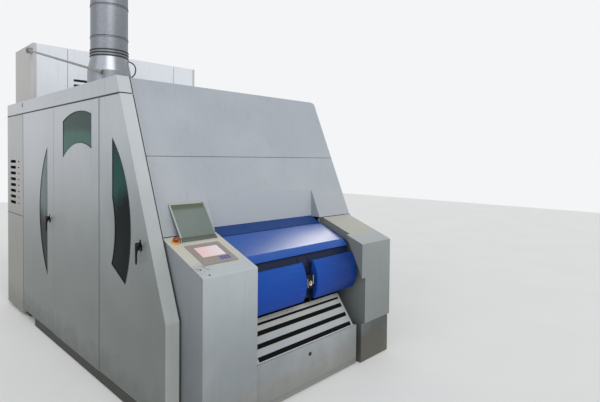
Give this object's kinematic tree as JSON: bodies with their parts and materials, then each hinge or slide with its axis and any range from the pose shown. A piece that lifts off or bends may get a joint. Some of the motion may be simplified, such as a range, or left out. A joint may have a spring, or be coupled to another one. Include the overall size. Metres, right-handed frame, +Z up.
{
  "type": "textile carding machine",
  "caption": "Enclosed carding machine with hinged side doors, raked hood, blue delivery covers, operator console, feed tower and roof duct; rolls turn inside",
  "frame": {"origin": "on the floor, at the middle of the machine's footprint", "axes": "x to the right as seen from the delivery end, y from the delivery end to the feed tower, z up"},
  "size_m": [2.164, 3.862, 3.06],
  "materials": {
    "side_paint": "light grey coat, slightly rough, greenish lower down",
    "hood_paint": "light blue-grey coat, satin",
    "tower_paint": "near-white coat, satin",
    "console_paint": "cream-white coat, satin, worn at edges",
    "blue_paint": "strong blue coat, satin sheen",
    "dark_foot": "dark grey coat",
    "frame_paint": "grey primer coat",
    "cast_frame": "painted casting",
    "motor_paint": "blue-grey enamel",
    "zinc_steel": "zinc plated",
    "galvanised": "spangled zinc, dull",
    "roll_steel": "wire-clothed steel surface",
    "lock_chrome": "plated, worn",
    "aluminium": "extruded, plain",
    "belt_rubber": "matt",
    "black_plastic": "fine grain",
    "panel_plastic": "satin",
    "stop_red": "moulded",
    "tinted_glass": "dark green tint, smooth",
    "flap_acrylic": "smoky see-through sheet"
  },
  "bodies": {
    "root": {"base_rails": "frame_paint", "levelling_feet": "zinc_steel", "casing_frame": "frame_paint", "left_side_frame": "cast_frame", "right_side_frame": "cast_frame", "roll_bearings": "cast_frame", "undercasing": "zinc_steel", "flat_bars": "aluminium", "feed_chute": "zinc_steel", "main_motor": "motor_paint", "drive_belt": "belt_rubber", "suction_manifold": "zinc_steel", "roof_cover": "side_paint", "upper_hood": "hood_paint", "lower_hood": "hood_paint", "left_console": "console_paint", "right_console": "console_paint", "right_console_foot": "dark_foot", "touch_panel": "panel_plastic", "web_housing": "dark_foot", "trumpet_block": "black_plastic", "louvre_panel": "console_paint", "kick_strip": "console_paint", "left_middle_panel": "side_paint", "right_middle_panel": "side_paint", "middle_windows": "tinted_glass", "left_rear_panel": "side_paint", "right_rear_panel": "side_paint", "back_panel": "side_paint", "tower_casing": "tower_paint", "duct_foot": "galvanised", "duct_pipe": "galvanised", "stay_rod": "zinc_steel"},
    "left_front_door": {"left_front_door": "side_paint", "left_front_window": "tinted_glass"},
    "left_rear_door": {"left_rear_door": "side_paint", "left_rear_window": "tinted_glass"},
    "right_front_door": {"right_front_door": "side_paint", "right_front_window": "tinted_glass"},
    "right_rear_door": {"right_rear_door": "side_paint", "right_rear_window": "tinted_glass"},
    "left_front_handle": {"left_front_handle": "black_plastic"},
    "left_rear_handle": {"left_rear_handle": "black_plastic"},
    "right_front_handle": {"right_front_handle": "black_plastic"},
    "right_rear_handle": {"right_rear_handle": "black_plastic"},
    "blue_lid": {"blue_lid": "blue_paint"},
    "left_web_cover": {"left_web_cover": "blue_paint"},
    "right_web_cover": {"right_web_cover": "blue_paint"},
    "lower_cover": {"lower_cover": "console_paint"},
    "cover_lock": {"cover_lock": "lock_chrome"},
    "screen_flap": {"screen_flap": "flap_acrylic"},
    "stop_button": {"stop_button": "stop_red"},
    "cylinder": {"cylinder": "roll_steel"},
    "doffer": {"doffer": "roll_steel"},
    "licker_in": {"licker_in": "roll_steel"},
    "feed_roll": {"feed_roll": "roll_steel"},
    "stripping_roll": {"stripping_roll": "roll_steel"},
    "crush_roll_upper": {"crush_roll_upper": "lock_chrome"},
    "crush_roll_lower": {"crush_roll_lower": "lock_chrome"},
    "motor_pulley": {"motor_pulley": "zinc_steel"}
  },
  "joints": [
    {"name": "left_front_door_hinge", "type": "hinge", "parent": "root", "child": "left_front_door", "pos_m": [-1.03, -0.7285, 0.084], "axis": [0, 0, -1], "range_deg": [0, 100]},
    {"name": "left_front_handle_turn", "type": "hinge", "parent": "left_front_door", "child": "left_front_handle", "pos_m": [-1.04, -1.38577, 1.128], "axis": [1, 0, 0], "range_deg": [0, 90]},
    {"name": "left_rear_door_hinge", "type": "hinge", "parent": "root", "child": "left_rear_door", "pos_m": [-1.03, 1.2285, 0.084], "axis": [0, 0, -1], "range_deg": [0, 100]},
    {"name": "left_rear_handle_turn", "type": "hinge", "parent": "left_rear_door", "child": "left_rear_handle", "pos_m": [-1.04, 0.391, 1.128], "axis": [1, 0, 0], "range_deg": [0, 90]},
    {"name": "right_front_door_hinge", "type": "hinge", "parent": "root", "child": "right_front_door", "pos_m": [1.03, -0.7285, 0.084], "axis": [0, 0, 1], "range_deg": [0, 100]},
    {"name": "right_front_handle_turn", "type": "hinge", "parent": "right_front_door", "child": "right_front_handle", "pos_m": [1.04, -1.2941, 1.128], "axis": [1, 0, 0], "range_deg": [0, 90]},
    {"name": "right_rear_door_hinge", "type": "hinge", "parent": "root", "child": "right_rear_door", "pos_m": [1.03, 1.2285, 0.084], "axis": [0, 0, 1], "range_deg": [0, 100]},
    {"name": "right_rear_handle_turn", "type": "hinge", "parent": "right_rear_door", "child": "right_rear_handle", "pos_m": [1.04, 0.391, 1.128], "axis": [1, 0, 0], "range_deg": [0, 90]},
    {"name": "blue_lid_hinge", "type": "hinge", "parent": "root", "child": "blue_lid", "pos_m": [0.0425, -1.47729, 1.10753], "axis": [-1, 0, 0], "range_deg": [0, 95]},
    {"name": "left_web_cover_hinge", "type": "hinge", "parent": "root", "child": "left_web_cover", "pos_m": [0.0425, -1.825, 0.646], "axis": [1, 0, 0], "range_deg": [0, 70]},
    {"name": "right_web_cover_hinge", "type": "hinge", "parent": "root", "child": "right_web_cover", "pos_m": [0.0425, -1.825, 0.646], "axis": [1, 0, 0], "range_deg": [0, 70]},
    {"name": "lower_cover_hinge", "type": "hinge", "parent": "root", "child": "lower_cover", "pos_m": [0.005, -1.898, 0.07], "axis": [1, 0, 0], "range_deg": [0, 90]},
    {"name": "cover_lock_turn", "type": "hinge", "parent": "lower_cover", "child": "cover_lock", "pos_m": [0.005, -1.91, 0.262], "axis": [0, 1, 0], "range_deg": [0, 90]},
    {"name": "screen_flap_hinge", "type": "hinge", "parent": "root", "child": "screen_flap", "pos_m": [-0.703, -1.5417, 1.14247], "axis": [1, 0, 0], "range_deg": [0, 145]},
    {"name": "stop_button_press", "type": "slide", "parent": "root", "child": "stop_button", "axis": [0, 0.3445, -0.9388], "range_m": [0, 0.004]},
    {"name": "cylinder_spin", "type": "hinge", "parent": "root", "child": "cylinder", "pos_m": [0.04, -0.029, 1.01], "axis": [1, 0, 0], "continuous": true},
    {"name": "doffer_spin", "type": "hinge", "parent": "root", "child": "doffer", "pos_m": [0.04, -0.952, 0.64], "axis": [1, 0, 0], "continuous": true},
    {"name": "licker_in_spin", "type": "hinge", "parent": "root", "child": "licker_in", "pos_m": [0.04, 0.69409, 0.74682], "axis": [1, 0, 0], "continuous": true},
    {"name": "feed_roll_spin", "type": "hinge", "parent": "root", "child": "feed_roll", "pos_m": [0.04, 0.85948, 0.80701], "axis": [1, 0, 0], "continuous": true},
    {"name": "stripping_roll_spin", "type": "hinge", "parent": "root", "child": "stripping_roll", "pos_m": [0.04, -1.32449, 0.8137], "axis": [1, 0, 0], "continuous": true},
    {"name": "crush_roll_upper_spin", "type": "hinge", "parent": "root", "child": "crush_roll_upper", "pos_m": [0.04, -1.441, 0.8533], "axis": [1, 0, 0], "continuous": true},
    {"name": "crush_roll_lower_spin", "type": "hinge", "parent": "root", "child": "crush_roll_lower", "pos_m": [0.04, -1.441, 0.7827], "axis": [1, 0, 0], "continuous": true},
    {"name": "motor_pulley_spin", "type": "hinge", "parent": "root", "child": "motor_pulley", "pos_m": [0.04, 0.711, 0.262], "axis": [1, 0, 0], "continuous": true}
  ],
  "couplings": [
    {"joint": "licker_in_spin", "follows": "cylinder_spin", "ratio": -2.2},
    {"joint": "motor_pulley_spin", "follows": "cylinder_spin", "ratio": 3.3333},
    {"joint": "stripping_roll_spin", "follows": "doffer_spin", "ratio": -5.8333},
    {"joint": "crush_roll_upper_spin", "follows": "doffer_spin", "ratio": 10},
    {"joint": "crush_roll_lower_spin", "follows": "doffer_spin", "ratio": -10}
  ]
}
